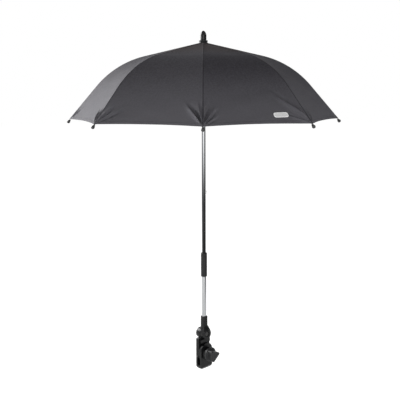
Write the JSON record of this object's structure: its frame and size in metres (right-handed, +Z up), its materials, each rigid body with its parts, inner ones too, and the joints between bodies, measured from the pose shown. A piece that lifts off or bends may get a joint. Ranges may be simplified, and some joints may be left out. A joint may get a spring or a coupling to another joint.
{
  "type": "pram parasol",
  "caption": "Small folding parasol for a pram: ribbed cloth canopy on a telescopic pole with twist collar, tilt knuckle and knob clamp.",
  "frame": {"origin": "middle of the clamp's round tube seat, on the pram tube's axis", "axes": "+Z up along the pole, +Y along the pram tube, +X along the clamp stud towards the knob"},
  "size_m": [0.7086, 0.7086, 0.9005],
  "materials": {
    "moulded_black": "satin moulded nylon",
    "knob_black": "satin moulded nylon",
    "collar_black": "fine matt moulding",
    "fitting_black": "satin moulded nylon",
    "tip_black": "polished moulding",
    "friction_fibre": "pressed fibre",
    "chrome_tube": "bright plated",
    "plated_steel": "zinc plated",
    "blackened_steel": "black oxide",
    "insert_brass": "turned",
    "rib_steel": "drawn and plated wire",
    "canopy_cloth": "plain-woven charcoal polyester"
  },
  "bodies": {
    "clamp": {"clamp_body": "moulded_black", "jaw_pin": "plated_steel", "clamp_stud": "plated_steel", "hinge_bolt": "blackened_steel", "hinge_nut": "plated_steel", "friction_disc": "friction_fibre"},
    "jaw": {"clamp_jaw": "moulded_black"},
    "washer": {"knob_washer": "plated_steel"},
    "knob": {"knob": "knob_black", "knob_insert": "insert_brass"},
    "mast": {"tube_socket": "moulded_black", "socket_screw": "plated_steel", "lower_tube": "chrome_tube", "lock_collet": "collar_black"},
    "collar": {"lock_collar": "collar_black"},
    "shaft": {"upper_tube": "chrome_tube", "tube_plug": "collar_black", "finial": "fitting_black", "finial_ring": "fitting_black", "crown": "fitting_black", "rib_pins": "plated_steel", "open_catch": "plated_steel", "closed_catch": "plated_steel"},
    "runner": {"runner": "fitting_black"},
    "rib_arm_1": {"rib_1": "rib_steel", "rib_tip_1": "tip_black", "canopy_panel_1": "canopy_cloth"},
    "strut_1": {"stretcher_1": "rib_steel"},
    "rib_arm_2": {"rib_2": "rib_steel", "rib_tip_2": "tip_black", "canopy_panel_2": "canopy_cloth"},
    "strut_2": {"stretcher_2": "rib_steel"},
    "rib_arm_3": {"rib_3": "rib_steel", "rib_tip_3": "tip_black", "canopy_panel_3": "canopy_cloth"},
    "strut_3": {"stretcher_3": "rib_steel"},
    "rib_arm_4": {"rib_4": "rib_steel", "rib_tip_4": "tip_black", "canopy_panel_4": "canopy_cloth"},
    "strut_4": {"stretcher_4": "rib_steel"},
    "rib_arm_5": {"rib_5": "rib_steel", "rib_tip_5": "tip_black", "canopy_panel_5": "canopy_cloth"},
    "strut_5": {"stretcher_5": "rib_steel"},
    "rib_arm_6": {"rib_6": "rib_steel", "rib_tip_6": "tip_black", "canopy_panel_6": "canopy_cloth"},
    "strut_6": {"stretcher_6": "rib_steel"},
    "rib_arm_7": {"rib_7": "rib_steel", "rib_tip_7": "tip_black", "canopy_panel_7": "canopy_cloth"},
    "strut_7": {"stretcher_7": "rib_steel"},
    "rib_arm_8": {"rib_8": "rib_steel", "rib_tip_8": "tip_black", "canopy_panel_8": "canopy_cloth"},
    "strut_8": {"stretcher_8": "rib_steel"}
  },
  "joints": [
    {"name": "knob_travel", "type": "slide", "parent": "clamp", "child": "washer", "axis": [1, 0, 0], "range_m": [0, 0.0152]},
    {"name": "knob_turn", "type": "hinge", "parent": "washer", "child": "knob", "pos_m": [0.02, 0, 0.028], "axis": [1, 0, 0], "range_deg": [0, 5400]},
    {"name": "jaw_swing", "type": "hinge", "parent": "clamp", "child": "jaw", "pos_m": [0.003, 0, -0.0124], "axis": [0, 1, 0], "range_deg": [0, 15.6]},
    {"name": "tilt", "type": "hinge", "parent": "clamp", "child": "mast", "pos_m": [0, 0, 0.0815], "axis": [1, 0, 0], "range_deg": [-90, 90]},
    {"name": "collar_twist", "type": "hinge", "parent": "mast", "child": "collar", "pos_m": [0, 0, 0.272], "axis": [0, 0, 1], "range_deg": [0, 90]},
    {"name": "height", "type": "slide", "parent": "mast", "child": "shaft", "axis": [0, 0, 1], "range_m": [-0.1, 0]},
    {"name": "canopy_fold", "type": "slide", "parent": "shaft", "child": "runner", "axis": [0, 0, 1], "range_m": [-0.19454, 0], "deforming": ["canopy_panel_1", "canopy_panel_2", "canopy_panel_3", "canopy_panel_4", "canopy_panel_5", "canopy_panel_6", "canopy_panel_7", "canopy_panel_8", "open_catch", "closed_catch"]},
    {"name": "rib_fold_1", "type": "hinge", "parent": "shaft", "child": "rib_arm_1", "pos_m": [0.011, 0, 0.845], "axis": [0, 1, 0], "range_deg": [0, 58.05]},
    {"name": "strut_fold_1", "type": "hinge", "parent": "rib_arm_1", "child": "strut_1", "pos_m": [0.16761, 0, 0.80776], "axis": [0, 1, 0], "range_deg": [-99.75, 0]},
    {"name": "rib_fold_2", "type": "hinge", "parent": "shaft", "child": "rib_arm_2", "pos_m": [0.00778, 0.00778, 0.845], "axis": [-0.7071, 0.7071, 0], "range_deg": [0, 58.05]},
    {"name": "strut_fold_2", "type": "hinge", "parent": "rib_arm_2", "child": "strut_2", "pos_m": [0.11852, 0.11852, 0.80776], "axis": [-0.7071, 0.7071, 0], "range_deg": [-99.75, 0]},
    {"name": "rib_fold_3", "type": "hinge", "parent": "shaft", "child": "rib_arm_3", "pos_m": [0, 0.011, 0.845], "axis": [-1, 0, 0], "range_deg": [0, 58.05]},
    {"name": "strut_fold_3", "type": "hinge", "parent": "rib_arm_3", "child": "strut_3", "pos_m": [0, 0.16761, 0.80776], "axis": [-1, 0, 0], "range_deg": [-99.75, 0]},
    {"name": "rib_fold_4", "type": "hinge", "parent": "shaft", "child": "rib_arm_4", "pos_m": [-0.00778, 0.00778, 0.845], "axis": [-0.7071, -0.7071, 0], "range_deg": [0, 58.05]},
    {"name": "strut_fold_4", "type": "hinge", "parent": "rib_arm_4", "child": "strut_4", "pos_m": [-0.11852, 0.11852, 0.80776], "axis": [-0.7071, -0.7071, 0], "range_deg": [-99.75, 0]},
    {"name": "rib_fold_5", "type": "hinge", "parent": "shaft", "child": "rib_arm_5", "pos_m": [-0.011, 0, 0.845], "axis": [0, -1, 0], "range_deg": [0, 58.05]},
    {"name": "strut_fold_5", "type": "hinge", "parent": "rib_arm_5", "child": "strut_5", "pos_m": [-0.16761, 0, 0.80776], "axis": [0, -1, 0], "range_deg": [-99.75, 0]},
    {"name": "rib_fold_6", "type": "hinge", "parent": "shaft", "child": "rib_arm_6", "pos_m": [-0.00778, -0.00778, 0.845], "axis": [0.7071, -0.7071, 0], "range_deg": [0, 58.05]},
    {"name": "strut_fold_6", "type": "hinge", "parent": "rib_arm_6", "child": "strut_6", "pos_m": [-0.11852, -0.11852, 0.80776], "axis": [0.7071, -0.7071, 0], "range_deg": [-99.75, 0]},
    {"name": "rib_fold_7", "type": "hinge", "parent": "shaft", "child": "rib_arm_7", "pos_m": [0, -0.011, 0.845], "axis": [1, 0, 0], "range_deg": [0, 58.05]},
    {"name": "strut_fold_7", "type": "hinge", "parent": "rib_arm_7", "child": "strut_7", "pos_m": [0, -0.16761, 0.80776], "axis": [1, 0, 0], "range_deg": [-99.75, 0]},
    {"name": "rib_fold_8", "type": "hinge", "parent": "shaft", "child": "rib_arm_8", "pos_m": [0.00778, -0.00778, 0.845], "axis": [0.7071, 0.7071, 0], "range_deg": [0, 58.05]},
    {"name": "strut_fold_8", "type": "hinge", "parent": "rib_arm_8", "child": "strut_8", "pos_m": [0.11852, -0.11852, 0.80776], "axis": [0.7071, 0.7071, 0], "range_deg": [-99.75, 0]}
  ],
  "couplings": [
    {"joint": "knob_travel", "follows": "knob_turn", "m_per_rad": 0.00015915},
    {"joint": "jaw_swing", "follows": "knob_turn", "ratio": 0.0028648},
    {"joint": "rib_fold_1", "follows": "canopy_fold", "rad_per_m": -5.2036},
    {"joint": "strut_fold_1", "follows": "canopy_fold", "rad_per_m": 8.9452},
    {"joint": "rib_fold_2", "follows": "canopy_fold", "rad_per_m": -5.2036},
    {"joint": "strut_fold_2", "follows": "canopy_fold", "rad_per_m": 8.9452},
    {"joint": "rib_fold_3", "follows": "canopy_fold", "rad_per_m": -5.2036},
    {"joint": "strut_fold_3", "follows": "canopy_fold", "rad_per_m": 8.9452},
    {"joint": "rib_fold_4", "follows": "canopy_fold", "rad_per_m": -5.2036},
    {"joint": "strut_fold_4", "follows": "canopy_fold", "rad_per_m": 8.9452},
    {"joint": "rib_fold_5", "follows": "canopy_fold", "rad_per_m": -5.2036},
    {"joint": "strut_fold_5", "follows": "canopy_fold", "rad_per_m": 8.9452},
    {"joint": "rib_fold_6", "follows": "canopy_fold", "rad_per_m": -5.2036},
    {"joint": "strut_fold_6", "follows": "canopy_fold", "rad_per_m": 8.9452},
    {"joint": "rib_fold_7", "follows": "canopy_fold", "rad_per_m": -5.2036},
    {"joint": "strut_fold_7", "follows": "canopy_fold", "rad_per_m": 8.9452},
    {"joint": "rib_fold_8", "follows": "canopy_fold", "rad_per_m": -5.2036},
    {"joint": "strut_fold_8", "follows": "canopy_fold", "rad_per_m": 8.9452}
  ]
}
